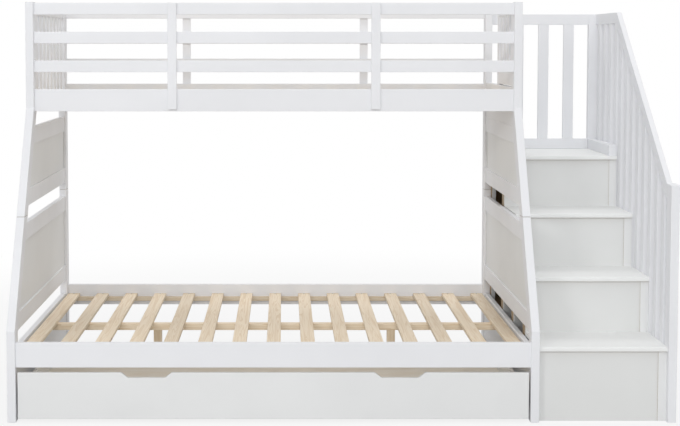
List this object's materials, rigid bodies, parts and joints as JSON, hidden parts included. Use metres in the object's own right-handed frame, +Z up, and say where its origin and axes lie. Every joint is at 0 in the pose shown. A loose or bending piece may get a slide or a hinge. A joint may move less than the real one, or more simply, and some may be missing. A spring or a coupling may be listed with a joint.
{
  "type": "bunk bed",
  "caption": "White bunk bed, single over double, with slanted front legs, panelled ends, a staircase with banister at the right end and a roll-out drawer below.",
  "frame": {"origin": "on the floor, under the middle of the whole bed with its stairs", "axes": "+X along the bed towards the stairs, +Y towards the wall side, +Z up; the front faces -Y"},
  "size_m": [2.623, 1.49, 1.66],
  "materials": {
    "white_paint": "satin white lacquer on solid pine and board",
    "pine": "bare planed pine",
    "plywood": "sanded plywood",
    "zinc_steel": "zinc-plated steel",
    "wheel_nylon": "moulded black nylon"
  },
  "bodies": {
    "frame": {"back_guard_rails": "white_paint", "barrel_nuts": "zinc_steel", "bed_bolts": "zinc_steel", "centre_beam": "pine", "centre_support_legs": "pine", "end_aprons": "white_paint", "entrance_post": "white_paint", "front_guard_rails": "white_paint", "guard_posts": "white_paint", "left_deck_end_rail": "white_paint", "left_guard_slats": "white_paint", "left_guard_top_rail": "white_paint", "lower_back_legs": "white_paint", "lower_back_rail": "white_paint", "lower_end_panel_left": "white_paint", "lower_end_panel_right": "white_paint", "lower_end_rails_left": "white_paint", "lower_end_rails_right": "white_paint", "lower_front_leg_left": "white_paint", "lower_front_leg_right": "white_paint", "lower_front_rail": "white_paint", "lower_slats": "pine", "newel_post": "white_paint", "platform_back_slats": "white_paint", "platform_guard_rails": "white_paint", "right_deck_end_rail": "white_paint", "right_guard_rails": "white_paint", "right_guard_slats": "white_paint", "slat_cleats": "pine", "stacking_dowels": "zinc_steel", "stair_back_panel": "white_paint", "stair_balusters": "white_paint", "stair_corner_post": "white_paint", "stair_handrail": "white_paint", "stair_platform": "white_paint", "stair_risers": "white_paint", "stair_side_panel": "white_paint", "stair_treads": "white_paint", "stair_uprights": "white_paint", "upper_back_legs": "white_paint", "upper_back_rail": "white_paint", "upper_end_panel_left": "white_paint", "upper_end_panel_right": "white_paint", "upper_end_rails_left": "white_paint", "upper_end_rails_right": "white_paint", "upper_front_leg_left": "white_paint", "upper_front_leg_right": "white_paint", "upper_front_rail": "white_paint", "upper_slats": "pine"},
    "drawer": {"caster_axles": "zinc_steel", "caster_brackets": "zinc_steel", "drawer_battens": "pine", "drawer_bottom": "plywood", "drawer_front": "white_paint", "drawer_walls": "white_paint"},
    "wheel_back_left": {"wheel_back_left": "wheel_nylon"},
    "wheel_back_right": {"wheel_back_right": "wheel_nylon"},
    "wheel_front_left": {"wheel_front_left": "wheel_nylon"},
    "wheel_front_right": {"wheel_front_right": "wheel_nylon"}
  },
  "joints": [
    {"name": "drawer_slide", "type": "slide", "parent": "frame", "child": "drawer", "axis": [0, -1, 0], "range_m": [0, 0.65]},
    {"name": "wheel_back_left_spin", "type": "hinge", "parent": "drawer", "child": "wheel_back_left", "pos_m": [-1.1185, -0.14, 0.019], "axis": [1, 0, 0], "continuous": true},
    {"name": "wheel_back_right_spin", "type": "hinge", "parent": "drawer", "child": "wheel_back_right", "pos_m": [0.5815, -0.14, 0.019], "axis": [1, 0, 0], "continuous": true},
    {"name": "wheel_front_left_spin", "type": "hinge", "parent": "drawer", "child": "wheel_front_left", "pos_m": [-1.1185, -0.635, 0.019], "axis": [1, 0, 0], "continuous": true},
    {"name": "wheel_front_right_spin", "type": "hinge", "parent": "drawer", "child": "wheel_front_right", "pos_m": [0.5815, -0.635, 0.019], "axis": [1, 0, 0], "continuous": true}
  ],
  "couplings": [
    {"joint": "wheel_back_left_spin", "follows": "drawer_slide", "rad_per_m": 52.632},
    {"joint": "wheel_back_right_spin", "follows": "drawer_slide", "rad_per_m": 52.632},
    {"joint": "wheel_front_left_spin", "follows": "drawer_slide", "rad_per_m": 52.632},
    {"joint": "wheel_front_right_spin", "follows": "drawer_slide", "rad_per_m": 52.632}
  ]
}
